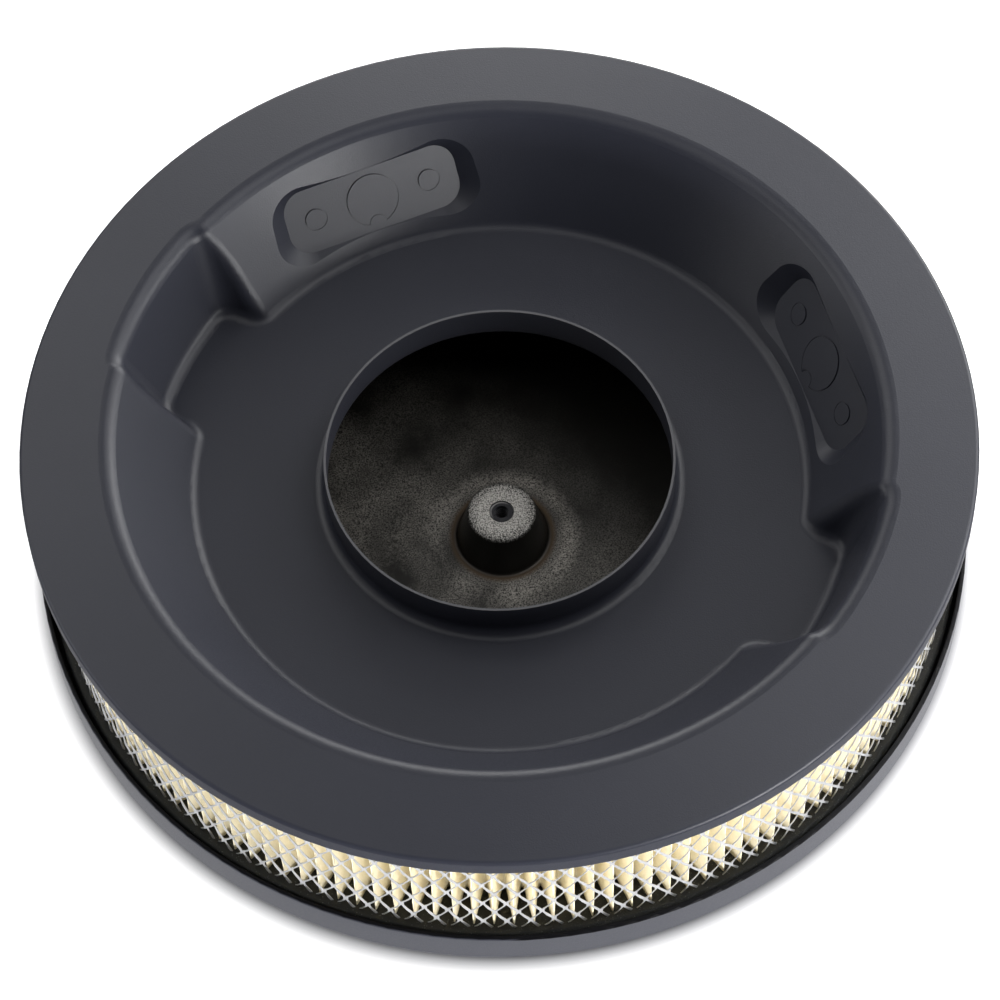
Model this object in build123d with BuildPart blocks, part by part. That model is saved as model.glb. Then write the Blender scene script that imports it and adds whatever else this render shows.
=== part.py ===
# Round carburetor air cleaner: a stamped drop base, a stamped lid and a pleated paper element.
# It stands upside down, on its lid, with the carburetor side up.
# Units are millimetres. The origin is the centre of the face it stands on, and +Z is up.

import os
from math import asin, atan2, cos, degrees, hypot, pi, radians, sin, tan

from build123d import *

os.makedirs("parts", exist_ok=True)

# Sheet metal and the overall size
sheet = 0.9
outer_r = 177.8
element_height = 77.1

# Lid: a flat rim, a skirt that rises round the element, a low crown, and a cup for the nut
lid_skirt_height = 16.55
lid_corner_r = 1.5
skirt_curl_r = 1.3
skirt_curl_angle = 100.0
crown_height = 2.5
crown_step_width = 8.0
crown_step_play = 3.0
crown_flat_r = 96.0
crown_blend_r = 60.0
crown_step_r = 4.0
crown_dish = 3.5
cup_seat_r = 12.4
cup_mouth_r = 16.9
cup_depth = 17.9
cup_corner_r = 1.2
cup_mouth_round = 2.5
stud_hole_r = 4.8

# Base pan: a rim that falls a little toward its edge, recess, carburetor neck
rim_width = 33.8
rim_fall = 5.1
rim_lip_height = 7.2
rim_corner_r = 1.8
recess_depth = 40.4
recess_wall_run = 28.0
recess_floor_round = 5.0
recess_rim_round = 6.5
neck_r = 65.1
neck_height = 16.4
neck_round = 4.0

# Two clearance pockets pressed outward in the recess wall, on either side of the pan's axis
pan_axis_angle = 63.3
pocket_floor_reach = 17.5
pocket_rim_reach = 1.6
pocket_half_width = 27.0
pocket_rim_half_width = 35.5
pocket_corner_r = 9.0
pocket_ridge_r = 6.0

# Two flat pads in the recess wall, each with a vent knock-out between two bolt knock-outs
pad_spread = 47.4
pad_length = 71.0
pad_height = 26.0
pad_corner_r = 9.0
pad_slope_distance = 20.7
pad_recess = 0.1
pad_wall_taper = 48.0
pad_reach = 9.0
vent_knockout_r = 10.2
vent_notch_r = 3.9
bolt_knockout_r = 4.1
bolt_knockout_spacing = 47.2
knockout_raise = 0.3
score_width = 0.5
score_depth = 0.25

# Element: pleated paper between two expanded-metal screens, with a moulded seal at each end
seal_outer_play = 2.3
seal_inner_play = 0.4
seal_height = 12.0
seal_edge_round = 1.5
screen_sheet = 0.7
screen_outer_inset = 2.8
screen_inner_inset = 1.8
screen_gap = 0.2
screen_columns = 60
screen_rows = 2
screen_strand = 1.8
pleat_count = 147
paper_thickness = 0.5

# Hold-down wing nut, loose enough in the lid's hole to turn by hand
nut_play = 0.3
nut_flange_r = 9.0
nut_flange_height = 2.0
nut_body_r = 6.4
nut_tail_r = 5.4
nut_body_height = 10.0
nut_thread_r = 2.6
wing_play = 0.6
wing_thickness = 2.6
wing_rise = 12.2
wing_root_r = 1.6
wing_tip_r = 3.2

# Heights that follow from the sizes above
lid_rim_z = crown_height
lid_inner_z = lid_rim_z + sheet
rim_edge_z = lid_inner_z + element_height + sheet
rim_z = rim_edge_z + rim_fall
recess_floor_z = rim_z - recess_depth
lid_seal_top_z = lid_inner_z + seal_height
cup_seat_z = crown_dish + cup_depth
nut_seat_z = cup_seat_z - nut_play
nut_pilot_top_z = cup_seat_z + sheet - nut_play

# Radii of the recess, inward from the rim, and of its pockets, outward from the plain wall
recess_rim_r = outer_r - rim_width
recess_floor_r = recess_rim_r - recess_wall_run
pocket_floor_r = recess_floor_r + pocket_floor_reach
pocket_rim_r = recess_rim_r + pocket_rim_reach

# Slopes of the rim, of the recess wall, of a pocket's outer wall and of a pocket's side walls
rim_slope = atan2(rim_fall, rim_width)
wall_slope = atan2(recess_depth, recess_wall_run)
pocket_slope = atan2(recess_depth, pocket_rim_r - pocket_floor_r)
pocket_side_slope = atan2(recess_depth, pocket_rim_half_width - pocket_half_width)

# Radii that follow: the seals fit between the skirt and the shoulder of the recess
pocket_shoulder_r = pocket_rim_r + recess_rim_round * tan((pocket_slope + rim_slope) / 2)
seal_inner_r = pocket_shoulder_r + seal_inner_play
seal_outer_r = outer_r - sheet - seal_outer_play
outer_screen_r = seal_outer_r - screen_outer_inset - screen_sheet
inner_screen_r = seal_inner_r + screen_inner_inset
crown_r = seal_inner_r - crown_step_play - crown_step_width
nut_pilot_r = stud_hole_r - nut_play
wing_reach = cup_seat_r - wing_play


def rim_height(radius, skin):
    """Height of the rim's top face at a radius, or of the face a skin below it."""
    return rim_z - (radius - recess_rim_r) * tan(rim_slope) - skin / cos(rim_slope)


base_seal_bottom_z = rim_height(seal_outer_r, sheet) - seal_height
pocket_angles = [pan_axis_angle + 90, pan_axis_angle - 90]
pad_angles = [pan_axis_angle + pad_spread, pan_axis_angle - pad_spread]


def pad_plane(angle, behind):
    """Plane of a flat pad: x along the wall, y down the slope, z out of the wall into the recess."""
    outward = Vector(cos(radians(angle)), sin(radians(angle)), 0)
    along = Vector(-sin(radians(angle)), cos(radians(angle)), 0)
    up = Vector(0, 0, 1)
    inward = up * cos(wall_slope) - outward * sin(wall_slope)
    up_the_wall = outward * cos(wall_slope) + up * sin(wall_slope)
    wall_foot = outward * recess_floor_r + up * recess_floor_z
    on_wall = wall_foot + up_the_wall * pad_slope_distance
    return Plane(origin=on_wall - inward * (pad_recess + behind), x_dir=along, z_dir=inward)


def knockouts(grow):
    """Outlines of a pad's vent knock-out, with its notch, and of its two bolt knock-outs, grown a little."""
    with BuildSketch() as outlines:
        Circle(vent_knockout_r + grow)
        with Locations((0, vent_knockout_r)):
            Circle(vent_notch_r - grow, mode=Mode.SUBTRACT)
        with Locations((-bolt_knockout_spacing / 2, 0), (bolt_knockout_spacing / 2, 0)):
            Circle(bolt_knockout_r + grow)
    return outlines.sketch


def near_a_pocket(point):
    """True where a point lies in the sector of the wall that a pocket takes up."""
    turn = degrees(atan2(point.Y, point.X))
    sector = degrees(asin(pocket_rim_half_width / recess_floor_r))
    return any(abs((turn - angle + 180) % 360 - 180) < sector for angle in pocket_angles)


def recess_form(skin):
    """The room in the recess with the air over the rim, or the same grown by a skin to its underside."""
    floor_z = recess_floor_z - skin
    top_z = rim_z - skin
    wall_grow = skin * tan(wall_slope / 2)
    pocket_grow = skin * tan(pocket_slope / 2)
    side_grow = skin * tan(pocket_side_slope / 2)
    with BuildPart() as form:
        with BuildSketch(Plane.XY.offset(floor_z)):
            Circle(recess_floor_r + wall_grow)
        with BuildSketch(Plane.XY.offset(top_z)):
            Circle(recess_rim_r + wall_grow)
        loft(ruled=True)
        for angle in pocket_angles:
            for z, wall_r, half_width in (
                (floor_z, pocket_floor_r + pocket_grow, pocket_half_width + side_grow),
                (top_z, pocket_rim_r + pocket_grow, pocket_rim_half_width + side_grow),
            ):
                with BuildSketch(Plane.XY.offset(z)) as outline:
                    Circle(wall_r)
                    with Locations(Location((0, 0, 0), (0, 0, angle))):
                        Rectangle(
                            2 * wall_r, 2 * half_width, align=(Align.MIN, Align.CENTER), mode=Mode.INTERSECT
                        )
                    far_corners = outline.vertices().filter_by(lambda v: hypot(v.X, v.Y) > half_width * 2)
                    fillet(far_corners, pocket_corner_r + pocket_grow)
            loft(ruled=True)

        def is_ridge(edge):
            """True for the edges that climb the wall where a pocket's side cuts into it."""
            climb = abs(edge.position_at(0).Z - edge.position_at(1).Z)
            middle = edge.position_at(0.5)
            share = (middle.Z - floor_z) / recess_depth
            wall_r = recess_floor_r + wall_grow + share * recess_wall_run
            off_wall = abs(hypot(middle.X, middle.Y) - wall_r)
            return climb > recess_depth / 2 and off_wall < sheet and near_a_pocket(middle)

        fillet(form.edges().filter_by(is_ridge), pocket_ridge_r - wall_grow)
        fillet(form.edges().group_by(Axis.Z)[0], recess_floor_round + skin)

        level_r = recess_rim_r - skin * tan(rim_slope / 2)
        air_r = recess_rim_r + 2 * recess_rim_round - 2 * skin
        air_top_z = top_z + recess_rim_round
        with BuildSketch(Plane.XZ):
            with BuildLine():
                Polyline(
                    (0, top_z),
                    (level_r, top_z),
                    (air_r, rim_height(air_r, skin)),
                    (air_r, air_top_z),
                    (0, air_top_z),
                    close=True,
                )
            make_face()
        revolve(axis=Axis.Z)

        def is_shoulder(edge):
            """True for the edges where the wall meets the rim."""
            middle = edge.position_at(0.5)
            radius = hypot(middle.X, middle.Y)
            climb = abs(edge.position_at(0).Z - edge.position_at(1).Z)
            off_rim = abs(middle.Z - rim_height(radius, skin))
            return off_rim < sheet / 4 and climb < sheet and radius < recess_rim_r + recess_rim_round

        fillet(form.edges().filter_by(is_shoulder), recess_rim_round - skin)

        for angle in pad_angles:
            with BuildSketch(pad_plane(angle, skin)):
                RectangleRounded(pad_length + 2 * skin, pad_height + 2 * skin, pad_corner_r + skin)
            extrude(amount=pad_reach, taper=-pad_wall_taper)
            with BuildSketch(pad_plane(angle, skin)):
                add(knockouts(0))
            extrude(amount=knockout_raise, mode=Mode.SUBTRACT)
    return form.part


# Base pan: one pressing, with the neck drawn up from its floor and the rim turned down outside
underside_form = recess_form(sheet)
topside_form = recess_form(0)

with BuildPart() as base_pan:
    add(underside_form)
    add(topside_form, mode=Mode.SUBTRACT)
    for angle in pad_angles:
        with BuildSketch(pad_plane(angle, score_depth)):
            add(knockouts(score_width))
            add(knockouts(0), mode=Mode.SUBTRACT)
        extrude(amount=score_depth, mode=Mode.SUBTRACT)
    hole_r = neck_r + sheet + 2 * neck_round
    with BuildSketch(Plane.XY.offset(recess_floor_z - 2 * sheet)):
        Circle(hole_r)
    extrude(amount=3 * sheet, mode=Mode.SUBTRACT)
    with BuildSketch(Plane.XZ):
        with BuildLine():
            FilletPolyline(
                (hole_r + sheet, recess_floor_z),
                (neck_r + sheet, recess_floor_z),
                (neck_r + sheet, recess_floor_z + neck_height),
                radius=neck_round,
            )
            offset(amount=sheet, side=Side.LEFT)
        make_face()
    revolve(axis=Axis.Z)
    with BuildSketch(Plane.XZ):
        with BuildLine():
            FilletPolyline(
                (recess_rim_r + recess_rim_round, rim_height(recess_rim_r + recess_rim_round, 0)),
                (outer_r, rim_edge_z),
                (outer_r, rim_edge_z - rim_lip_height),
                radius=rim_corner_r,
            )
            offset(amount=sheet, side=Side.RIGHT)
        make_face()
    revolve(axis=Axis.Z)

# Lid: one pressing, drawn here along its outer face from the stud hole to the curl of the skirt
with BuildPart() as lid:
    skirt_top_z = lid_rim_z + lid_skirt_height
    with BuildSketch(Plane.XZ):
        with BuildLine():
            FilletPolyline(
                (stud_hole_r, cup_seat_z),
                (cup_seat_r, cup_seat_z),
                (cup_mouth_r, crown_dish),
                (crown_flat_r, 0),
                (crown_r, 0),
                (crown_r + crown_step_width, lid_rim_z),
                (outer_r, lid_rim_z),
                (outer_r, skirt_top_z - skirt_curl_r),
                radius=[
                    cup_corner_r,
                    cup_mouth_round,
                    crown_blend_r,
                    crown_step_r,
                    crown_step_r,
                    lid_corner_r,
                ],
            )
            curl_centre = (outer_r - skirt_curl_r, skirt_top_z - skirt_curl_r)
            CenterArc(curl_centre, skirt_curl_r, 0, skirt_curl_angle)
            offset(amount=sheet, side=Side.LEFT)
        make_face()
    revolve(axis=Axis.Z)


def seal(bottom_z, top_inner_z, top_outer_z):
    """Moulded end seal, a ring with rounded edges that fills the height between two faces."""
    with BuildPart() as ring:
        with BuildSketch(Plane.XZ) as outline:
            Polygon(
                (seal_inner_r, bottom_z),
                (seal_outer_r, bottom_z),
                (seal_outer_r, top_outer_z),
                (seal_inner_r, top_inner_z),
                align=None,
            )
            fillet(outline.vertices(), seal_edge_round)
        revolve(axis=Axis.Z)
    return ring.part


lower_ring = seal(lid_inner_z, lid_seal_top_z, lid_seal_top_z)
upper_ring = seal(base_seal_bottom_z, rim_height(seal_inner_r, sheet), rim_height(seal_outer_r, sheet))

with BuildPart() as lid_seal:
    add(lower_ring)

with BuildPart() as base_seal:
    add(upper_ring)


def pleat_outline(tip_r, valley_r):
    """Closed zigzag of straight pleat walls, tips outward."""
    corners = []
    for index in range(2 * pleat_count):
        radius = tip_r if index % 2 == 0 else valley_r
        turn = pi * index / pleat_count
        corners.append((radius * cos(turn), radius * sin(turn)))
    return corners


# Filter paper: one folded band that stands between the two screens and the two seals
with BuildPart() as filter_paper:
    paper_outer_r = outer_screen_r - screen_gap
    paper_inner_r = inner_screen_r + screen_sheet + screen_gap
    half_pitch = pi * (paper_outer_r + paper_inner_r) / 2 / pleat_count
    wall_angle = atan2(half_pitch, paper_outer_r - paper_inner_r)
    radial_thickness = paper_thickness / sin(wall_angle)
    with BuildSketch(Plane.XY.offset(lid_seal_top_z)):
        Polygon(*pleat_outline(paper_outer_r, paper_inner_r + radial_thickness), align=None)
        Polygon(
            *pleat_outline(paper_outer_r - radial_thickness, paper_inner_r), align=None, mode=Mode.SUBTRACT
        )
    extrude(amount=base_seal_bottom_z - lid_seal_top_z)


def screen(inner_r):
    """Expanded-metal tube: a thin wall with staggered diamond gaps."""
    tube_height = base_seal_bottom_z - lid_seal_top_z
    pitch = 2 * pi * inner_r / screen_columns
    gap_height = 2 * tube_height / (screen_rows + 1)
    with BuildPart() as tube:
        with BuildSketch(Plane.XY.offset(lid_seal_top_z)):
            Circle(inner_r + screen_sheet)
            Circle(inner_r, mode=Mode.SUBTRACT)
        extrude(amount=tube_height)
        for row in range(screen_rows):
            middle_z = lid_seal_top_z + gap_height * (row + 1) / 2
            stagger = 180.0 / screen_columns * (row % 2)
            for column in range(screen_columns):
                turn = radians(360.0 * column / screen_columns + stagger)
                outward = Vector(cos(turn), sin(turn), 0)
                behind_wall = outward * (inner_r - screen_sheet) + Vector(0, 0, middle_z)
                with BuildSketch(Plane(origin=behind_wall, x_dir=(0, 0, 1), z_dir=outward)):
                    half_w = pitch / 2 - screen_strand
                    half_h = half_w * gap_height / pitch
                    Polygon((half_h, 0), (0, half_w), (-half_h, 0), (0, -half_w), align=None)
        extrude(amount=3 * screen_sheet, mode=Mode.SUBTRACT)
    return tube.part


outer_tube = screen(outer_screen_r)
inner_tube = screen(inner_screen_r)

with BuildPart() as outer_screen:
    add(outer_tube)

with BuildPart() as inner_screen:
    add(inner_tube)

# Hold-down nut: a wing nut whose pilot turns in the lid's hole, with its wings down in the cup
with BuildPart() as hold_down_nut:
    with BuildSketch(Plane.XZ):
        with BuildLine():
            Polyline(
                (nut_thread_r, nut_pilot_top_z),
                (nut_pilot_r, nut_pilot_top_z),
                (nut_pilot_r, nut_seat_z),
                (nut_flange_r, nut_seat_z),
                (nut_flange_r, nut_seat_z - nut_flange_height / 2),
                (nut_body_r, nut_seat_z - nut_flange_height),
                (nut_tail_r, nut_seat_z - nut_body_height),
                (nut_thread_r, nut_seat_z - nut_body_height),
                close=True,
            )
        make_face()
    revolve(axis=Axis.Z)
    with BuildSketch(Plane.XZ):
        for side in (-1, 1):
            with BuildSketch(Plane.XZ, mode=Mode.PRIVATE) as wing:
                with Locations((side * (wing_reach - wing_tip_r), nut_seat_z - wing_rise + wing_tip_r)):
                    Circle(wing_tip_r)
                with Locations(
                    (side * (nut_tail_r - wing_root_r / 2), nut_seat_z - nut_flange_height - wing_root_r),
                    (side * (nut_tail_r - wing_root_r / 2), nut_seat_z - nut_body_height + wing_root_r),
                ):
                    Circle(wing_root_r)
                make_hull()
            add(wing.sketch)
    extrude(amount=wing_thickness / 2, both=True)
    with BuildSketch(Plane.XY.offset(nut_seat_z - wing_rise)):
        Circle(nut_thread_r)
    extrude(amount=wing_rise, mode=Mode.SUBTRACT)

base_pan.part.label = "base_pan"
lid.part.label = "lid"
lid_seal.part.label = "lid_seal"
base_seal.part.label = "base_seal"
filter_paper.part.label = "filter_paper"
outer_screen.part.label = "outer_screen"
inner_screen.part.label = "inner_screen"
hold_down_nut.part.label = "hold_down_nut"

export_step(base_pan.part, "parts/base_pan.step")
export_step(lid.part, "parts/lid.step")
export_step(lid_seal.part, "parts/lid_seal.step")
export_step(base_seal.part, "parts/base_seal.step")
export_step(filter_paper.part, "parts/filter_paper.step")
export_step(outer_screen.part, "parts/outer_screen.step")
export_step(inner_screen.part, "parts/inner_screen.step")
export_step(hold_down_nut.part, "parts/hold_down_nut.step")
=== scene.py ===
# %% [markdown]
# # A round air cleaner, upside down on its lid
# The real thing is two steel pressings that clamp a ring of pleated paper. The pressings, the rubber
# rings and the wing nut come in finished as solids, because their shape is already right. Here they get
# their paint, rubber and plating, and the paper and its metal screens are modelled fold by fold.

import math

import bpy
from mathutils import Matrix, Vector


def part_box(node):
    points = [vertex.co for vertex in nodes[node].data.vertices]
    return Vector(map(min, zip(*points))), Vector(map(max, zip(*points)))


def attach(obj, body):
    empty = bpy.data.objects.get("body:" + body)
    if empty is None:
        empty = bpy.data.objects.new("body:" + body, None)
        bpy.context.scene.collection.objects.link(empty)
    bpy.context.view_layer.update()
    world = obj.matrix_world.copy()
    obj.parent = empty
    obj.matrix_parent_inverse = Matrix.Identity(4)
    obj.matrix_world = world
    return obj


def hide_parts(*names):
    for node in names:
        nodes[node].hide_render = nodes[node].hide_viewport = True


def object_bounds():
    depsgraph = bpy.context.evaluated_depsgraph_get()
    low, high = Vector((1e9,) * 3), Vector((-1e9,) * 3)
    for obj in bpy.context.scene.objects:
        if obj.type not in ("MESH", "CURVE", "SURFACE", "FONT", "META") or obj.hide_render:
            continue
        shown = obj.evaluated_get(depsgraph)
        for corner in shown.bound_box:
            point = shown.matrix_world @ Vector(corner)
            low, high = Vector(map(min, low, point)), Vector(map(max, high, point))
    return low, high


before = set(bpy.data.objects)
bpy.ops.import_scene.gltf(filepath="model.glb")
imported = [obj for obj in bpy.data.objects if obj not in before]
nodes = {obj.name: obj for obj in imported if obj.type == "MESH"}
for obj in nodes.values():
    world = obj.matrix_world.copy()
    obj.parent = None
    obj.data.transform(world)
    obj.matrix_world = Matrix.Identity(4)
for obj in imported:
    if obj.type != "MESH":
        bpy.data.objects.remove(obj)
cad_low, cad_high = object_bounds()
print("solids reach from", tuple(cad_low), "to", tuple(cad_high))

# %% [markdown]
# ## Where the pieces meet
# Every new piece is placed from the box of the solid that it stands for, so it follows when the solids
# change. The paper and the screens stand between the two rubber seals, so the seals give their height.

# %% Sizes read from the solids
MM = 0.001

seal_inner_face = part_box("lid_seal")[1].z
base_seal_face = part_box("base_seal")[0].z
open_height = base_seal_face - seal_inner_face
outer_screen_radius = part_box("outer_screen")[1].x
inner_screen_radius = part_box("inner_screen")[1].x
print("open height of the element", round(open_height / MM, 2), "mm")
for label, radius in (("inner", inner_screen_radius), ("outer", outer_screen_radius)):
    print(label, "screen's radius", round(radius / MM, 2), "mm")

# %% [markdown]
# ## Working in edit mode from code
# A tool of edit mode acts on whatever is selected, just as it does by hand. Loading the solids leaves
# them selected, so each step first clears the selection, and then selects by place.


# %% Helpers for edit mode
MERGE_REACH = 0.05 * MM


def select_only(piece):
    bpy.ops.object.select_all(action="DESELECT")
    piece.select_set(True)
    bpy.context.view_layer.objects.active = piece


def select_parts(piece, vertices=None, edges=None):
    """Selects the vertices, or the edges, of a mesh for which a test is true, and enters edit mode."""
    select_only(piece)
    mode = "VERT" if vertices else "EDGE"
    bpy.ops.object.mode_set(mode="EDIT")
    bpy.ops.mesh.select_mode(type=mode)
    bpy.ops.mesh.select_all(action="DESELECT")
    bpy.ops.object.mode_set(mode="OBJECT")
    mesh = piece.data
    if vertices:
        for vertex in mesh.vertices:
            vertex.select = vertices(vertex.co)
    else:
        for edge in mesh.edges:
            edge.select = edges(*(mesh.vertices[index].co for index in edge.vertices))
    bpy.ops.object.mode_set(mode="EDIT")


def leave_edit():
    bpy.ops.object.mode_set(mode="OBJECT")


def apply_modifier(piece, kind, **settings):
    """Adds a modifier, sets it and applies it at once."""
    select_only(piece)
    modifier = piece.modifiers.new(kind.title(), kind)
    for name, value in settings.items():
        setattr(modifier, name, value)
    bpy.ops.object.modifier_apply(modifier=modifier.name)


def bake_place(piece):
    """Moves an object's place into its mesh, so that the object itself sits at the origin."""
    select_only(piece)
    bpy.ops.object.transform_apply(location=True, rotation=True, scale=True)


def ring_of_copies(piece, count):
    """Repeats a piece round the upright axis, one mesh for the whole ring, with its joints merged."""
    turn = bpy.data.objects.new("turn", None)
    turn.rotation_euler = (0, 0, 2 * math.pi / count)
    bpy.context.scene.collection.objects.link(turn)
    bpy.context.view_layer.update()
    apply_modifier(
        piece,
        "ARRAY",
        count=count,
        use_relative_offset=False,
        use_object_offset=True,
        offset_object=turn,
        use_merge_vertices=True,
        use_merge_vertices_cap=True,
        merge_threshold=MERGE_REACH,
    )
    bpy.data.objects.remove(turn)


def count_triangles(piece):
    return sum(len(face.vertices) - 2 for face in piece.data.polygons)


print("helpers ready")

# %% [markdown]
# ## The pleated paper
# On the real element one long band of paper is folded to and fro and closed to a ring. It could be one
# zigzag outline pulled upward, but then every fold would be the same. Instead one pleat is folded from
# a flat strip, its two folds are rounded, it is copied round the ring, and a soft noise pushes the walls
# a little, as the folding machine and the potting of the seals leave them.

# %% One pleat, folded from a flat strip
PLEATS = 147
PLEAT_ROWS = 8
FOLD_ROUND = 0.5 * MM
FOLD_STEPS = 3
TIP_PLAY = 1.6 * MM
VALLEY_PLAY = 0.9 * MM
SEAL_GRIP = 0.8 * MM

paper_tip = outer_screen_radius - TIP_PLAY
paper_valley = inner_screen_radius + VALLEY_PLAY
pleat_angle = 2 * math.pi / PLEATS

# Each column of the strip, as shares of a pleat's width and of its depth: from valley to tip and back
PLEAT_PROFILE = [
    (0.0, 0.0),
    (0.13, 0.06),
    (0.21, 0.22),
    (0.5, 1.0),
    (0.79, 0.22),
    (0.87, 0.06),
    (1.0, 0.0),
]

bpy.ops.object.select_all(action="DESELECT")
bpy.ops.mesh.primitive_grid_add(
    x_subdivisions=len(PLEAT_PROFILE) - 1,
    y_subdivisions=PLEAT_ROWS,
    size=1,
    rotation=(math.pi / 2, 0, 0),
)
paper = bpy.context.active_object
paper.name = "pleated_paper"
paper.scale = (1, open_height + 2 * SEAL_GRIP, 1)
paper.location = (0, 0, (seal_inner_face + base_seal_face) / 2)
bake_place(paper)


def fold_place(column, height):
    """Place of a column of the strip once it is folded."""
    across, depth = PLEAT_PROFILE[column]
    radius = paper_valley + depth * (paper_tip - paper_valley)
    angle = (across - 0.5) * pleat_angle
    return Vector((radius * math.cos(angle), radius * math.sin(angle), height))


for vertex in paper.data.vertices:
    column = round((vertex.co.x + 0.5) * (len(PLEAT_PROFILE) - 1))
    vertex.co = fold_place(column, vertex.co.z)
select_parts(
    paper,
    edges=lambda a, b: abs(a.z - b.z) > 1 * MM and abs(a.xy.length - paper_tip) < 1 * MM,
)
bpy.ops.mesh.bevel(offset=FOLD_ROUND, segments=FOLD_STEPS, affect="EDGES")
leave_edit()
print("one pleat has", len(paper.data.vertices), "points")

# %% The whole band
PAPER_THICKNESS = 0.45 * MM
PAPER_WAVE = 0.7 * MM
WAVE_SIZE = 9 * MM
PAPER_SMOOTH_BELOW = math.radians(50)


def soft_noise(name, size):
    """A cloud texture for the Displace modifier, the same on every run."""
    texture = bpy.data.textures.new(name, type="CLOUDS")
    texture.noise_scale = size
    texture.noise_depth = 1
    return texture


ring_of_copies(paper, PLEATS)
select_only(paper)
apply_modifier(
    paper,
    "DISPLACE",
    texture=soft_noise("paper_wave", WAVE_SIZE),
    texture_coords="LOCAL",
    direction="RGB_TO_XYZ",
    strength=PAPER_WAVE,
    mid_level=0.5,
)
apply_modifier(paper, "SOLIDIFY", thickness=PAPER_THICKNESS, offset=0)
bpy.ops.object.shade_smooth_by_angle(angle=PAPER_SMOOTH_BELOW)
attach(paper, "root")
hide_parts("filter_paper")
print("pleated paper:", count_triangles(paper), "triangles")

# %% [markdown]
# ## The expanded metal screens
# Expanded metal starts as a sheet with short slits that is pulled sideways, so each slit opens to a
# diamond and the strands twist a little. No strand is loose from the next. So the smallest piece that
# repeats is a knuckle, where two strands meet, with half a strand on each of its four corners. It is
# extruded from two small squares, then repeated upward and round the ring, where the ends merge.

# %% One knuckle with its four half strands
SCREEN_COLUMNS = 126
SCREEN_ROW = 14.7 * MM
STRAND_WIDTH = 0.8 * MM
STRAND_THICKNESS = 0.4 * MM
STRAND_TWIST = 0.24 * MM
KNUCKLE_HEIGHT = 2.2 * MM
SCREEN_ROWS = 5
SCREEN_START = 2.3 * MM
SAME_PLACE = 0.01 * MM


def knuckle(name, radius, columns):
    """Two squares side by side, and from each of their free edges a strand to the next knuckle."""
    column = 2 * math.pi * radius / columns
    reach = Vector((column / 4, 0, SCREEN_ROW / 4))
    strand_across = STRAND_WIDTH * math.hypot(reach.x, reach.z) / reach.z
    bpy.ops.object.select_all(action="DESELECT")
    bpy.ops.mesh.primitive_grid_add(
        x_subdivisions=2,
        y_subdivisions=1,
        size=1,
        rotation=(math.pi / 2, 0, 0),
    )
    piece = bpy.context.active_object
    piece.name = name
    piece.scale = (2 * strand_across, KNUCKLE_HEIGHT, 1)
    bake_place(piece)
    for side in (-1, 1):
        for level in (-1, 1):
            select_parts(
                piece,
                edges=lambda a, b: abs(a.z - b.z) < SAME_PLACE
                and abs((a.x + b.x) / 2 - side * strand_across / 2) < SAME_PLACE
                and abs(a.z - level * KNUCKLE_HEIGHT / 2) < SAME_PLACE,
            )
            move = (
                side * (reach.x - strand_across / 2),
                0,
                level * (reach.z - KNUCKLE_HEIGHT / 2),
            )
            bpy.ops.mesh.extrude_region_move(TRANSFORM_OT_translate={"value": move})
            leave_edit()
    for vertex in piece.data.vertices:
        side = 1 if vertex.co.x > 0 else -1
        strand_middle = strand_across / 2 if abs(vertex.co.z) < KNUCKLE_HEIGHT else reach.x
        across = (abs(vertex.co.x) - strand_middle) * side / (strand_across / 2)
        vertex.co.y = across * STRAND_TWIST
    piece.location = (0, -radius, 0)
    bake_place(piece)
    return piece


def screen(name, outer_face, columns):
    """A tube of expanded metal whose outer face lies at a radius, cut level at both seals."""
    radius = outer_face - STRAND_TWIST - STRAND_THICKNESS
    piece = knuckle(name, radius, columns)
    select_only(piece)
    bpy.ops.object.duplicate()
    between = bpy.context.active_object
    between.rotation_euler = (0, 0, math.pi / columns)
    between.location = (0, 0, SCREEN_ROW / 2)
    bake_place(between)
    piece.select_set(True)
    bpy.context.view_layer.objects.active = piece
    bpy.ops.object.join()
    apply_modifier(
        piece,
        "ARRAY",
        count=SCREEN_ROWS,
        use_relative_offset=False,
        use_constant_offset=True,
        constant_offset_displace=(0, 0, SCREEN_ROW),
        use_merge_vertices=True,
        merge_threshold=MERGE_REACH,
    )
    ring_of_copies(piece, columns)
    piece.location = (0, 0, seal_inner_face - SCREEN_START)
    bake_place(piece)
    cuts = ((seal_inner_face - SEAL_GRIP, False), (base_seal_face + SEAL_GRIP, True))
    for height, clear_above in cuts:
        select_parts(piece, vertices=lambda co: True)
        bpy.ops.mesh.bisect(
            plane_co=(0, 0, height),
            plane_no=(0, 0, 1),
            clear_outer=clear_above,
            clear_inner=not clear_above,
        )
        leave_edit()
    return piece


outer_screen = screen("outer_expanded_metal", outer_screen_radius, SCREEN_COLUMNS)
print("outer screen, flat:", len(outer_screen.data.polygons), "faces")

# %% [markdown]
# The flat lattice now gets its sheet thickness and slightly rounded edges. A little noise first, because
# the pull that opens the slits never gives two strands exactly the same.

# %% Thickness and finish of the screens
LATTICE_WAVE = 0.35 * MM
LATTICE_WAVE_SIZE = 6 * MM
EDGE_ROUND = 0.08 * MM
SCREEN_SMOOTH_BELOW = math.radians(40)


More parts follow.
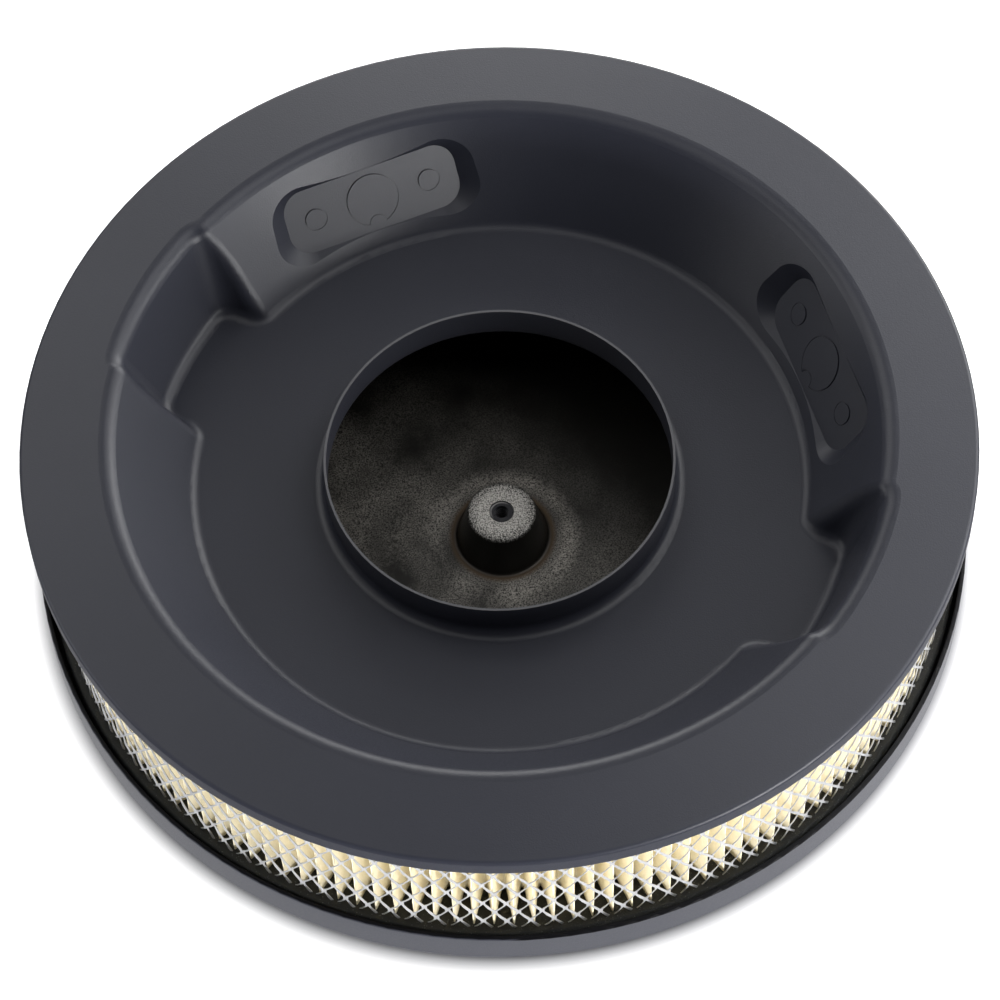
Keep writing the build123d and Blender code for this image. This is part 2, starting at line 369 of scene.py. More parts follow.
def finish_screen(piece, stands_for):
    apply_modifier(
        piece,
        "DISPLACE",
        texture=soft_noise(piece.name + "_wave", LATTICE_WAVE_SIZE),
        texture_coords="LOCAL",
        direction="RGB_TO_XYZ",
        strength=LATTICE_WAVE,
        mid_level=0.5,
    )
    apply_modifier(piece, "SOLIDIFY", thickness=STRAND_THICKNESS, offset=0)
    apply_modifier(piece, "BEVEL", width=EDGE_ROUND, segments=1, limit_method="ANGLE")
    bpy.ops.object.shade_smooth_by_angle(angle=SCREEN_SMOOTH_BELOW)
    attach(piece, "root")
    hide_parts(stands_for)
    print(piece.name, count_triangles(piece), "triangles")


finish_screen(outer_screen, "outer_screen")
inner_columns = round(SCREEN_COLUMNS * inner_screen_radius / outer_screen_radius)
inner_screen = screen("inner_expanded_metal", inner_screen_radius, inner_columns)
finish_screen(inner_screen, "inner_screen")

# %% [markdown]
# ## The thread of the wing nut
# The solid nut has a plain bore at the thread's inner radius. The thread shows through the hole in the
# lid, so it is added as a thin ridge: a three-sided ring, wound up the bore by the Screw modifier.

# %% Thread
THREAD_PITCH = 1.27 * MM
THREAD_DEPTH = 0.45 * MM
THREAD_BORE = 2.6 * MM
THREAD_ROOT = 0.1 * MM
THREAD_TURNS = 7
THREAD_RUNOUT = 0.7
THREAD_STEPS = 32
THREAD_MERGE = 0.001 * MM

nut_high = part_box("hold_down_nut")[1]
thread_start = nut_high.z - (THREAD_TURNS + THREAD_RUNOUT) * THREAD_PITCH
bpy.ops.object.select_all(action="DESELECT")
bpy.ops.mesh.primitive_circle_add(
    vertices=3,
    radius=THREAD_DEPTH,
    fill_type="NOTHING",
    location=(THREAD_BORE + THREAD_ROOT, 0, thread_start),
    rotation=(math.pi / 2, math.pi / 2, 0),
)
thread = bpy.context.active_object
thread.name = "nut_thread"
bake_place(thread)
apply_modifier(
    thread,
    "SCREW",
    axis="Z",
    angle=2 * math.pi,
    screw_offset=THREAD_PITCH,
    iterations=THREAD_TURNS,
    steps=THREAD_STEPS,
    render_steps=THREAD_STEPS,
)
select_parts(thread, vertices=lambda co: True)
bpy.ops.mesh.remove_doubles(threshold=THREAD_MERGE)
bpy.ops.mesh.fill_holes(sides=4)
bpy.ops.mesh.normals_make_consistent(inside=False)
leave_edit()
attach(thread, "nut")
print("thread:", count_triangles(thread), "triangles")

# %% [markdown]
# ## Effects that several finishes share
# Paint, rubber, paper and plating all have a fine grain, and all vary a little from place to place. Each
# such effect is a node group with named inputs, so a finish only has to say how large and how strong.
# They read the object's own coordinates in metres, so the grain has its real size on every piece.


# %% Helpers for nodes
def math_node(tree, operation, first, second=None, clamp=False):
    """A Math node with its inputs linked or set, and its output handed back."""
    node = tree.nodes.new("ShaderNodeMath")
    node.operation = operation
    node.use_clamp = clamp
    for index, value in enumerate((first, second)):
        if value is None:
            continue
        if isinstance(value, (int, float)):
            node.inputs[index].default_value = value
        else:
            tree.links.new(value, node.inputs[index])
    return node.outputs[0]


def product(tree, first, *others):
    """Several masks or numbers multiplied."""
    for other in others:
        first = math_node(tree, "MULTIPLY", first, other)
    return first


def ramp(tree, value, start, width):
    """0 up to the start, then rising to 1 over the width. A negative width falls toward the start."""
    past_start = math_node(tree, "SUBTRACT", value, start)
    return math_node(tree, "DIVIDE", past_start, width, clamp=True)


def coordinates(tree, vector):
    """The X, Y and Z of a vector, each by itself."""
    node = tree.nodes.new("ShaderNodeSeparateXYZ")
    tree.links.new(vector, node.inputs["Vector"])
    return node.outputs["X"], node.outputs["Y"], node.outputs["Z"]


def distance_from_axis(tree, vector):
    """How far a point lies from the upright axis."""
    x, y, _ = coordinates(tree, vector)
    squares = math_node(tree, "ADD", product(tree, x, x), product(tree, y, y))
    return math_node(tree, "SQRT", squares)


print("node helpers ready")


# %% Node groups
SPOT_EDGE = 6.0


def new_group(name, inputs, outputs):
    """An empty node group: a Vector input for the place, number inputs, and outputs by their kind."""
    group = bpy.data.node_groups.new(name, "ShaderNodeTree")
    group.interface.new_socket("Vector", in_out="INPUT", socket_type="NodeSocketVector")
    for label, value in inputs.items():
        socket = group.interface.new_socket(label, in_out="INPUT", socket_type="NodeSocketFloat")
        socket.default_value = value
    for label, kind in outputs.items():
        group.interface.new_socket(label, in_out="OUTPUT", socket_type="NodeSocket" + kind)
    return group, group.nodes.new("NodeGroupInput"), group.nodes.new("NodeGroupOutput")


def noise_group(name, detail, roughness):
    """Noise with features of a real size, spread from 0 to 1 round its middle by Contrast."""
    group, entry, result = new_group(name, {"Size": 1 * MM, "Contrast": 1.0}, {"Value": "Float"})
    noise = group.nodes.new("ShaderNodeTexNoise")
    noise.inputs["Detail"].default_value = detail
    noise.inputs["Roughness"].default_value = roughness
    group.links.new(entry.outputs["Vector"], noise.inputs["Vector"])
    group.links.new(math_node(group, "DIVIDE", 1.0, entry.outputs["Size"]), noise.inputs["Scale"])
    centred = math_node(group, "SUBTRACT", noise.outputs["Fac"], 0.5)
    spread = math_node(group, "MULTIPLY", centred, entry.outputs["Contrast"])
    group.links.new(math_node(group, "ADD", spread, 0.5, clamp=True), result.inputs["Value"])
    return group


def speckle_group():
    """Small round spots: 1 in a spot and 0 between. Share is how much of the surface they take."""
    group, entry, result = new_group("speckle", {"Size": 1 * MM, "Share": 0.2}, {"Value": "Float"})
    cells = group.nodes.new("ShaderNodeTexVoronoi")
    cells.feature = "F1"
    group.links.new(entry.outputs["Vector"], cells.inputs["Vector"])
    group.links.new(math_node(group, "DIVIDE", 1.0, entry.outputs["Size"]), cells.inputs["Scale"])
    inside = math_node(group, "SUBTRACT", entry.outputs["Share"], cells.outputs["Distance"])
    spot = math_node(group, "MULTIPLY", inside, SPOT_EDGE, clamp=True)
    group.links.new(spot, result.inputs["Value"])
    return group


def ring_group():
    """A ring round the upright axis: 1 at its Radius, falling to 0 over its Width on both sides."""
    group, entry, result = new_group("ring", {"Radius": 1 * MM, "Width": 1 * MM}, {"Value": "Float"})
    radius = distance_from_axis(group, entry.outputs["Vector"])
    off = math_node(group, "ABSOLUTE", math_node(group, "SUBTRACT", radius, entry.outputs["Radius"]))
    share = math_node(group, "DIVIDE", off, entry.outputs["Width"])
    group.links.new(math_node(group, "SUBTRACT", 1.0, share, clamp=True), result.inputs["Value"])
    return group


grain = noise_group("grain", 2.0, 0.6)
patches = noise_group("patches", 4.0, 0.55)
speckle = speckle_group()
ring = ring_group()
print("node groups:", [group.name for group in bpy.data.node_groups])


# %% Helpers for materials
def new_material(name):
    """A material with a Principled shader, and the piece's own coordinates and normals to read."""
    material = bpy.data.materials.new(name)
    material.use_nodes = True
    tree = material.node_tree
    tree.nodes.clear()
    output = tree.nodes.new("ShaderNodeOutputMaterial")
    shader = tree.nodes.new("ShaderNodeBsdfPrincipled")
    place = tree.nodes.new("ShaderNodeTexCoord")
    tree.links.new(shader.outputs["BSDF"], output.inputs["Surface"])
    return material, tree, shader, place.outputs


def place_group(tree, group, vector, **values):
    """Puts a node group into a tree with its own values, and hands back its outputs."""
    node = tree.nodes.new("ShaderNodeGroup")
    node.node_tree = group
    tree.links.new(vector, node.inputs["Vector"])
    for label, value in values.items():
        node.inputs[label.title()].default_value = value
    return node.outputs


def use_effect(tree, group, vector, **values):
    """The same for a group with one output, which is handed back."""
    return place_group(tree, group, vector, **values)["Value"]


def mix_colours(tree, share, first, second):
    """First where share is 0, second where it is 1. Each is a colour or the output of another node."""
    node = tree.nodes.new("ShaderNodeMix")
    node.data_type = "RGBA"
    tree.links.new(share, node.inputs["Factor"])
    for socket, value in ((node.inputs[6], first), (node.inputs[7], second)):
        if isinstance(value, tuple):
            socket.default_value = (*value, 1)
        else:
            tree.links.new(value, socket)
    return node.outputs[2]


def link_range(tree, value, low, high, socket):
    """Drives a shader input from an effect, between two values."""
    node = tree.nodes.new("ShaderNodeMapRange")
    node.inputs["To Min"].default_value = low
    node.inputs["To Max"].default_value = high
    tree.links.new(value, node.inputs["Value"])
    tree.links.new(node.outputs["Result"], socket)


def add_relief(tree, shader, fleck, roughness, depth, strength=0.5):
    """One fine effect moves the roughness between two values and raises the surface with it."""
    link_range(tree, fleck, *roughness, shader.inputs["Roughness"])
    bump = tree.nodes.new("ShaderNodeBump")
    bump.inputs["Distance"].default_value = depth
    bump.inputs["Strength"].default_value = strength
    tree.links.new(fleck, bump.inputs["Height"])
    tree.links.new(bump.outputs["Normal"], shader.inputs["Normal"])


def give(piece, material):
    """Puts one material on all faces of a piece."""
    piece.data.materials.clear()
    piece.data.materials.append(material)


print("material helpers ready")

# %% [markdown]
# ## Charcoal powder coat
# Both pressings are powder coated: a dark grey with a slightly blue cast, satin rather than glossy, and
# with a fine pebbled texture that breaks up the reflections. A flat dark grey would look like plastic,
# so the grain moves the colour, the roughness and the bump together. Two finishes start from this coat,
# so its colour is a node group too. Along the top edge of the neck it is a lighter grey.

# %% Powder coat
COAT_DARK = (0.0188, 0.0203, 0.0290)
COAT_LIGHT = (0.0272, 0.0290, 0.0405)
COAT_ROUGHNESS = (0.34, 0.46)
COAT_RELIEF = 0.05 * MM


def coat_group():
    """The coat's colour, and its fleck by itself for the roughness and the bump."""
    group, entry, result = new_group("powder_coat", {}, {"Color": "Color", "Fleck": "Float"})
    vector = entry.outputs["Vector"]
    tint = use_effect(group, patches, vector, size=50 * MM, contrast=1.4)
    fleck = use_effect(group, grain, vector, size=0.6 * MM, contrast=2.0)
    half_each = product(group, math_node(group, "ADD", tint, fleck), 0.5)
    group.links.new(mix_colours(group, half_each, COAT_DARK, COAT_LIGHT), result.inputs["Color"])
    group.links.new(fleck, result.inputs["Fleck"])
    return group


coat = coat_group()
print("powder coat with", len(coat.nodes), "nodes")

# %% Base pan: the coat, lighter along the neck's top edge
# A lighter grey along the top edge of the neck
NECK_EDGE_COLOUR = (0.085, 0.085, 0.092)
NECK_OUTSIDE = 67.5 * MM
NECK_EDGE_DEPTH = 0.5 * MM
NECK_EDGE_FADE = 0.3 * MM


def base_pan_finish(neck_top):
    material, tree, shader, place = new_material("charcoal_powder_coat")
    coated = place_group(tree, coat, place["Object"])
    _, _, z = coordinates(tree, place["Object"])
    radius = distance_from_axis(tree, place["Object"])
    within_neck = math_node(tree, "LESS_THAN", radius, NECK_OUTSIDE)
    # Lighter grey on the top edge of the neck, set by height and radius
    lighter = product(tree, within_neck, ramp(tree, z, neck_top - NECK_EDGE_DEPTH, NECK_EDGE_FADE))
    colour = mix_colours(tree, lighter, coated["Color"], NECK_EDGE_COLOUR)
    tree.links.new(colour, shader.inputs["Base Color"])
    add_relief(tree, shader, coated["Fleck"], COAT_ROUGHNESS, COAT_RELIEF)
    return material


pan_points = nodes["base_pan"].data.vertices
neck_top = max(point.co.z for point in pan_points if point.co.xy.length < NECK_OUTSIDE)
give(nodes["base_pan"], base_pan_finish(neck_top))
print("powder coat on the base pan, worn at the neck's edge,", round(neck_top / MM, 2), "mm up")

# %% [markdown]
# ## The lid, painted outside and dusty inside
# The inside of the lid only gets the mist that drifts in while the outside is sprayed, so bare metal
# shimmers through in cloudy streaks. They show most toward the front left and least at the back and the
# right: that is a painted patch of light, where light falls in through the neck. The cup for the nut
# stands in the middle. Its wall is painted dark as shade, its top is nearly bare, and a little rust lies
# round its foot, with a speckled ring of painted highlight just outside it. All of it is painted with
# masks that count from the axis or the height, because one solid has both sides.

# %% Lid: mist on the crown under a painted patch of light, and a painted highlight round the cup
MIST_DARK = (0.016, 0.015, 0.013)
MIST_LIGHT = (0.50, 0.47, 0.42)
# Painted light: the mist shows most toward the front left and fades toward the right and the back, as a
# patch of light falling in through the neck
LIGHT_FALLOFF_TO_RIGHT = 6.0
LIGHT_FALLOFF_TO_BACK = 5.0
LIGHT_PATCH_AT_AXIS = 0.5
CUP_FOOT_RADIUS = 19.5 * MM
# A ring just outside the cup's foot is lightened and speckled by the dust grain: a painted highlight
FOOT_HIGHLIGHT_WIDTH = 6 * MM
FOOT_HIGHLIGHT_SHARE = 0.9


def crown_colour(tree, vector, dust):
    x, y, _ = coordinates(tree, vector)
    # Painted patch of light, brightest toward the front left
    to_right = product(tree, x, LIGHT_FALLOFF_TO_RIGHT)
    to_back = product(tree, y, LIGHT_FALLOFF_TO_BACK)
    light_falloff = math_node(tree, "ADD", to_right, to_back)
    light_patch = math_node(tree, "SUBTRACT", LIGHT_PATCH_AT_AXIS, light_falloff, clamp=True)
    cloud = use_effect(tree, patches, vector, size=30 * MM, contrast=3.0)
    mist_and_light_patch = mix_colours(tree, product(tree, cloud, dust, light_patch), MIST_DARK, MIST_LIGHT)
    # Painted highlight: a speckled light ring just outside the cup's foot
    foot_highlight_radius = CUP_FOOT_RADIUS + FOOT_HIGHLIGHT_WIDTH
    foot_highlight_ring = use_effect(tree, ring, vector, radius=foot_highlight_radius, width=FOOT_HIGHLIGHT_WIDTH)
    uneven = use_effect(tree, patches, vector, size=20 * MM, contrast=2.6)
    dust_and_highlight = product(tree, foot_highlight_ring, uneven, dust, FOOT_HIGHLIGHT_SHARE)
    return mix_colours(tree, dust_and_highlight, mist_and_light_patch, MIST_LIGHT)


# The ring round the cup is a painted highlight
print("dust ring round the cup, radius", round((CUP_FOOT_RADIUS + FOOT_HIGHLIGHT_WIDTH) / MM, 1), "mm")

# %% Lid: the cup's wall painted dark as shade, its rusty foot and bare top
# The cup's wall is painted nearly black as shade
CUP_WALL_SHADE = (0.014, 0.013, 0.011)
RUST = (0.085, 0.050, 0.020)
BARE_METAL = (0.62, 0.60, 0.56)
RUST_WIDTH = 1.8 * MM
RUST_SHARE = 0.8
CUP_TOP_HEIGHT = 20.9 * MM
CUP_TOP_EDGE = 1 * MM
CUP_TOP_RADIUS = 14.5 * MM
CUP_TOP_FADE = 6 * MM
BARE_SHARE = 0.65


def add_cup(tree, vector, radius, dust, crown):
    """The colour of the crown with the cup painted into it."""
    _, _, z = coordinates(tree, vector)
    on_cup = math_node(tree, "LESS_THAN", radius, CUP_FOOT_RADIUS)
    # Painted shade: the cup's wall is darkened
    shaded_wall = mix_colours(tree, on_cup, crown, CUP_WALL_SHADE)
    rust_ring = use_effect(tree, ring, vector, radius=CUP_FOOT_RADIUS, width=RUST_WIDTH)
    rusty = mix_colours(tree, product(tree, rust_ring, RUST_SHARE), shaded_wall, RUST)
    on_top = ramp(tree, z, CUP_TOP_HEIGHT, CUP_TOP_EDGE)
    inward = product(tree, ramp(tree, radius, CUP_TOP_RADIUS, -CUP_TOP_FADE), BARE_SHARE)
    bare = math_node(tree, "SUBTRACT", math_node(tree, "ADD", dust, inward), 0.5, clamp=True)
    return mix_colours(tree, product(tree, on_top, bare), rusty, BARE_METAL)


print("cup painted up to", round(CUP_TOP_HEIGHT / MM, 1), "mm and higher")

# %% [markdown]
# The inside is where the surface faces up and lies within the seal. The direction of the surface also
# finds the groove along the skirt's rolled edge. Hardly any light gets in there, so the groove is
# painted nearly black as shade, with little gloss.

# %% Lid finish
INSIDE_FACING = 0.05
INSIDE_METAL = 0.25
GROOVE_RADIUS = cad_high.x - 4 * MM
GROOVE_FACING = 0.35
GROOVE_FACING_SPAN = 0.25
# Painted shade: the groove's colour and its low gloss
GROOVE_SHADE_COLOUR = (0.004, 0.004, 0.005)
PAINT_GLOSS = 0.5
GROOVE_SHADE_GLOSS = 0.08


def lid_finish():
    material, tree, shader, place = new_material("lid_paint_and_mist")
    vector = place["Object"]
    radius = distance_from_axis(tree, vector)
    _, _, facing_up = coordinates(tree, place["Normal"])
    within_seal = math_node(tree, "LESS_THAN", radius, inner_screen_radius)
    inside = product(tree, ramp(tree, facing_up, INSIDE_FACING, INSIDE_FACING), within_seal)
    dust = use_effect(tree, grain, vector, size=0.6 * MM, contrast=3.4)
    inside_colour = add_cup(tree, vector, radius, dust, crown_colour(tree, vector, dust))

    coated = place_group(tree, coat, vector)
    # Painted shade in the groove along the skirt's rolled edge
    at_skirt = math_node(tree, "GREATER_THAN", radius, GROOVE_RADIUS)
    in_groove_shade = product(tree, at_skirt, ramp(tree, facing_up, GROOVE_FACING, GROOVE_FACING_SPAN))
    outside_colour = mix_colours(tree, in_groove_shade, coated["Color"], GROOVE_SHADE_COLOUR)
    colour = mix_colours(tree, inside, outside_colour, inside_colour)
    tree.links.new(colour, shader.inputs["Base Color"])
    link_range(tree, in_groove_shade, PAINT_GLOSS, GROOVE_SHADE_GLOSS, shader.inputs["Specular IOR Level"])
    tree.links.new(product(tree, inside, INSIDE_METAL), shader.inputs["Metallic"])
    add_relief(tree, shader, coated["Fleck"], COAT_ROUGHNESS, COAT_RELIEF)
    return material


give(nodes["lid"], lid_finish())
print("lid: coat outside, mist inside")

# %% [markdown]
# ## Rubber, paper, screen and nut
# The seals are cast soft rubber, matt, with dust and tiny pores whose glints are painted as light spots.
# The paper is creamy and fibrous, and the fibres run upward. The screen is bright thin sheet. The nut is
# zinc plated, but its end face and bore, all that shows through the hole, are painted dark as shade,
# except for one crescent at the back left that keeps the plating's colour as a painted highlight.

# %% Rubber
RUBBER_DARK = (0.005, 0.006, 0.006)
RUBBER_LIGHT = (0.015, 0.017, 0.017)
# Light spots of dust, with glints on the pores painted in as light
RUBBER_DUST_AND_GLINT = (0.20, 0.21, 0.20)
RUBBER_ROUGHNESS = (0.55, 0.75)
RUBBER_RELIEF = 0.12 * MM


def seal_rubber():
    material, tree, shader, place = new_material("cast_black_rubber")
    vector = place["Object"]
    glinting_pores = use_effect(tree, speckle, vector, size=1.1 * MM, share=0.22)
    cloud = use_effect(tree, patches, vector, size=20 * MM, contrast=2.0)
    fleck = use_effect(tree, grain, vector, size=0.8 * MM, contrast=2.4)
    base = mix_colours(tree, fleck, RUBBER_DARK, RUBBER_LIGHT)
    # Dust, and painted glints on the pores
    dust_and_highlight = mix_colours(tree, product(tree, glinting_pores, cloud), base, RUBBER_DUST_AND_GLINT)
    tree.links.new(dust_and_highlight, shader.inputs["Base Color"])
    add_relief(tree, shader, fleck, RUBBER_ROUGHNESS, RUBBER_RELIEF, strength=0.6)
    return material


rubber = seal_rubber()
give(nodes["lid_seal"], rubber)
give(nodes["base_seal"], rubber)
print("rubber on both seals")

# %% Paper
PAPER_DARK = (0.84, 0.74, 0.51)
PAPER_LIGHT = (0.93, 0.88, 0.72)
PAPER_ROUGHNESS = (0.75, 0.9)
PAPER_RELIEF = 0.08 * MM
FIBRE_STRETCH = (1, 1, 0.35)
FIBRE_SHARE = 0.45
CLOUD_SHARE = 0.55


def filter_paper_finish():
    material, tree, shader, place = new_material("cream_filter_paper")
    stretch = tree.nodes.new("ShaderNodeMapping")
    stretch.inputs["Scale"].default_value = FIBRE_STRETCH
    tree.links.new(place["Object"], stretch.inputs["Vector"])
    fibres = use_effect(tree, grain, stretch.outputs["Vector"], size=0.9 * MM, contrast=2.0)
    cloud = use_effect(tree, patches, place["Object"], size=12 * MM, contrast=1.8)
    fine = product(tree, fibres, FIBRE_SHARE)
    blend = math_node(tree, "ADD", fine, product(tree, cloud, CLOUD_SHARE))
    tree.links.new(mix_colours(tree, blend, PAPER_DARK, PAPER_LIGHT), shader.inputs["Base Color"])
    add_relief(tree, shader, fibres, PAPER_ROUGHNESS, PAPER_RELIEF, strength=0.6)
    return material


give(paper, filter_paper_finish())
print("paper finish on the pleats")

# %% Screen metal
SCREEN_DARK = (0.36, 0.365, 0.38)
SCREEN_LIGHT = (0.50, 0.505, 0.515)
SCREEN_ROUGHNESS = (0.42, 0.58)
SCREEN_METAL = 0.25
METAL_RELIEF = 0.03 * MM


def screen_finish():
    material, tree, shader, place = new_material("bright_expanded_sheet")
    fleck = use_effect(tree, grain, place["Object"], size=0.7 * MM, contrast=2.0)
    cloud = use_effect(tree, patches, place["Object"], size=10 * MM, contrast=2.0)
    tree.links.new(mix_colours(tree, cloud, SCREEN_DARK, SCREEN_LIGHT), shader.inputs["Base Color"])
    shader.inputs["Metallic"].default_value = SCREEN_METAL
    add_relief(tree, shader, fleck, SCREEN_ROUGHNESS, METAL_RELIEF)
    return material


screen_metal = screen_finish()
give(outer_screen, screen_metal)
give(inner_screen, screen_metal)
print("screen finish on both screens")

# %% Nut plating
PLATE_DARK = (0.34, 0.34, 0.34)
PLATE_LIGHT = (0.50, 0.49, 0.47)
# Painted shade on the end face and in the bore, and a painted highlight crescent at the back left
HOLE_SHADE = (0.06, 0.06, 0.065)
PLATE_ROUGHNESS = (0.25, 0.5)
END_FACE_DEPTH = 0.2 * MM
BORE_DEPTH = 0.15 * MM
HIGHLIGHT_CRESCENT_RADIUS = 4.2 * MM
HIGHLIGHT_CRESCENT_WIDTH = 0.5 * MM
HIGHLIGHT_CRESCENT_FADE = 4 * MM


def nut_finish():
    material, tree, shader, place = new_material("zinc_plate")
    vector = place["Object"]
    x, y, z = coordinates(tree, vector)
    radius = distance_from_axis(tree, vector)
    fleck = use_effect(tree, grain, vector, size=0.6 * MM, contrast=2.2)
    cloud = use_effect(tree, patches, vector, size=4 * MM, contrast=2.0)
    plating = mix_colours(tree, cloud, PLATE_DARK, PLATE_LIGHT)
    end_face = math_node(tree, "GREATER_THAN", z, nut_high.z - END_FACE_DEPTH)
    in_bore = math_node(tree, "LESS_THAN", radius, THREAD_BORE + BORE_DEPTH)
    # Painted shade in the hole, with a crescent left light as a painted highlight
    back_left = ramp(tree, math_node(tree, "SUBTRACT", y, x), 0.0, HIGHLIGHT_CRESCENT_FADE)
    highlight_crescent = use_effect(tree, ring, vector, radius=HIGHLIGHT_CRESCENT_RADIUS, width=HIGHLIGHT_CRESCENT_WIDTH)
    outside_highlight = math_node(tree, "SUBTRACT", 1.0, product(tree, highlight_crescent, back_left))
    hole_shade_share = product(tree, math_node(tree, "MAXIMUM", end_face, in_bore), outside_highlight)
    tree.links.new(mix_colours(tree, hole_shade_share, plating, HOLE_SHADE), shader.inputs["Base Color"])
    shader.inputs["Metallic"].default_value = 1.0
    add_relief(tree, shader, fleck, PLATE_ROUGHNESS, METAL_RELIEF)
    return material


zinc = nut_finish()
give(nodes["hold_down_nut"], zinc)
give(thread, zinc)
print("zinc on the nut and its thread")

# %% [markdown]
# ## Floor
# The floor is white paper that also shines by itself for the camera, so it reads as white. A darker ring
# right under the lid's edge makes the contact shadow as deep as the photograph's. Reflections see the
# shine only in a pool near the object, so the upright skirt mirrors the floor and the rim stays dark.

# %% Floor
FLOOR_SIZE = 6
FLOOR_DARK = (0.86, 0.86, 0.87)
FLOOR_LIGHT = (0.88, 0.88, 0.88)
FLOOR_ROUGHNESS = 0.9
CONTACT_COLOUR = (0.10, 0.10, 0.13)
UNLIT_COLOUR = (0.08, 0.08, 0.09)
FLOOR_SHINE = 0.75
FAR_SHINE = 0.3
FAR_WIDTH = 1.0
MIRRORED_SHINE = 0.8
SHADOW_START = cad_high.x - 2.5 * MM
SHADOW_WIDTH = 8 * MM
POOL_WIDTH = 45 * MM


def floor_finish():
    material, tree, shader, place = new_material("white_paper_floor")
    shader.inputs["Roughness"].default_value = FLOOR_ROUGHNESS
    shader.inputs["Emission Color"].default_value = (1, 1, 1, 1)
    ray = tree.nodes.new("ShaderNodeLightPath").outputs
    radius = distance_from_axis(tree, place["Object"])
    beyond = ramp(tree, radius, SHADOW_START, SHADOW_WIDTH)
    far = ramp(tree, radius, SHADOW_START, FAR_WIDTH)
    shine = math_node(tree, "ADD", product(tree, beyond, FLOOR_SHINE), product(tree, far, FAR_SHINE))
    seen = product(tree, ray["Is Camera Ray"], shine)
    outside = math_node(tree, "GREATER_THAN", radius, SHADOW_START)
    pool = product(tree, ramp(tree, radius, SHADOW_START + POOL_WIDTH, -POOL_WIDTH), outside)
    reflected = math_node(tree, "MAXIMUM", ray["Is Glossy Ray"], ray["Is Transmission Ray"])
    mirrored = product(tree, reflected, pool, MIRRORED_SHINE)
    tree.links.new(math_node(tree, "ADD", seen, mirrored), shader.inputs["Emission Strength"])

    mottling = use_effect(tree, grain, place["Object"], size=20 * MM, contrast=1.0)
    paper_white = mix_colours(tree, mottling, FLOOR_DARK, FLOOR_LIGHT)
    shaded = mix_colours(tree, beyond, CONTACT_COLOUR, paper_white)
    unlit = product(tree, reflected, math_node(tree, "SUBTRACT", 1.0, pool))
    tree.links.new(mix_colours(tree, unlit, shaded, UNLIT_COLOUR), shader.inputs["Base Color"])
    return material


bpy.ops.object.select_all(action="DESELECT")
bpy.ops.mesh.primitive_plane_add(size=FLOOR_SIZE, location=(0, 0, 0))
floor = bpy.context.active_object
floor.name = "floor"
give(floor, floor_finish())
print("floor at height", floor.location.z)

# %% [markdown]
# ## World and lamps
# The world is white for the camera and nearly dark as a light, so the soft boxes shape the object. Most
# stand low behind the right side, so the rim is brightest at the back, and little comes from above, so
# the floor of the recess stays dark as it does on a light table. Two flat strips light the paper and the
# skirt from in front. They are left out of reflections, where they would draw a line along the rim.

# %% World
AMBIENT = 0.02

world = bpy.data.worlds.new("white_studio")
world.use_nodes = True
tree = world.node_tree
background = tree.nodes["Background"]
background.inputs["Color"].default_value = (1, 1, 1, 1)
ray = tree.nodes.new("ShaderNodeLightPath").outputs
link_range(tree, ray["Is Camera Ray"], AMBIENT, 1.0, background.inputs["Strength"])
bpy.context.scene.world = world
print("world white for the camera,", AMBIENT, "as a light")

# %% Lamps
STRIP_HEIGHT = 0.12

# Name, azimuth (0 is right and 90 is the back), elevation, distance, width and power
SOFT_BOXES = (
    ("back_right_low", 45, 15, 1.6, 1.0, 14.5),
    ("back_low", 90, 15, 1.6, 1.0, 12.2),
    ("back_right", 45, 40, 1.6, 1.0, 4.4),
    ("back_left", 135, 40, 1.6, 1.0, 4.9),
    ("right_high", 0, 65, 1.6, 1.0, 5.9),
    ("left_low", 180, 15, 1.6, 1.0, 5.6),
    ("left_high", 180, 65, 1.6, 1.0, 3.0),
    ("right_near", 0, 18, 0.85, 0.5, 3.2),
    ("front_right_low", -45, 4, 1.2, 0.6, 17.0),
)
STRIPS = (
    ("front_strip", -80, 2, 1.3, 1.2, 10.0),
    ("front_left_strip", -130, 2, 1.3, 1.0, 11.0),
)


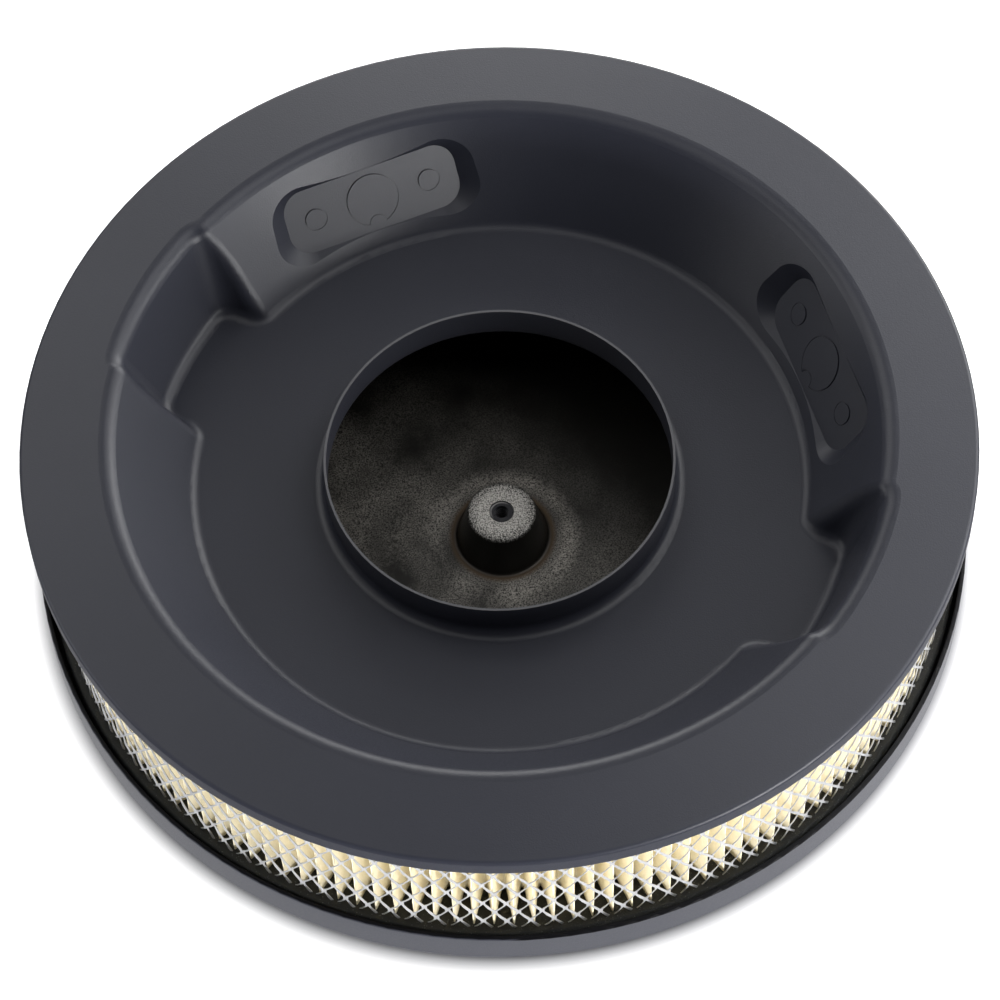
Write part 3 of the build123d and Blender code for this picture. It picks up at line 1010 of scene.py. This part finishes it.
def soft_box(name, azimuth, elevation, distance, width, power, height=None):
    """An area lamp that faces the middle of the object, square unless a height is given."""
    middle = Vector((0, 0, cad_high.z / 2))
    turn = math.radians(azimuth)
    climb = math.radians(elevation)
    out = math.cos(climb)
    toward = Vector((out * math.cos(turn), out * math.sin(turn), math.sin(climb)))
    lamp = bpy.data.lights.new(name, "AREA")
    lamp.shape = "RECTANGLE"
    lamp.size = width
    lamp.size_y = height or width
    lamp.energy = power
    stand = bpy.data.objects.new(name, lamp)
    stand.location = middle + toward * distance
    stand.rotation_mode = "QUATERNION"
    stand.rotation_quaternion = toward.to_track_quat("Z", "Y")
    bpy.context.scene.collection.objects.link(stand)
    return stand


for box in SOFT_BOXES:
    soft_box(*box)
for strip in STRIPS:
    soft_box(*strip, height=STRIP_HEIGHT).visible_glossy = False
print("lamps:", [lamp.name for lamp in bpy.data.lights])

# %% [markdown]
# ## Camera
# The camera looks down steeply from the front, with a long lens, and is turned a little about its own
# axis. Its place is counted from a point in the open recess, in the camera's own right, up and back.

# %% Camera
CAMERA_ELEVATION = math.radians(59.207)
CAMERA_ROLL = math.radians(2.407)
CAMERA_DISTANCE = 1.5
AIM_HEIGHT = 83.1 * MM
AIM_RIGHT_OF_AXIS = -0.675 * MM
AIM_ABOVE_AXIS = 26.69 * MM
FOCAL_PIXELS = 4052
IMAGE_PIXELS = 1000
SENSOR_WIDTH = 36

camera_data = bpy.data.cameras.new("camera")
camera_data.sensor_width = SENSOR_WIDTH
camera_data.lens = FOCAL_PIXELS / IMAGE_PIXELS * SENSOR_WIDTH
camera = bpy.data.objects.new("camera", camera_data)
bpy.context.scene.collection.objects.link(camera)
tilt = Matrix.Rotation(math.pi / 2 - CAMERA_ELEVATION, 4, "X")
roll = Matrix.Rotation(-CAMERA_ROLL, 4, "Z")
turned = tilt @ roll
offset = Vector((-AIM_RIGHT_OF_AXIS, -AIM_ABOVE_AXIS, CAMERA_DISTANCE))
camera_place = Vector((0, 0, AIM_HEIGHT)) + turned.to_3x3() @ offset
camera.matrix_world = Matrix.Translation(camera_place) @ turned
bpy.context.scene.camera = camera
bpy.context.scene.view_settings.view_transform = "Standard"
print("camera at", tuple(round(value, 4) for value in camera.matrix_world.translation))
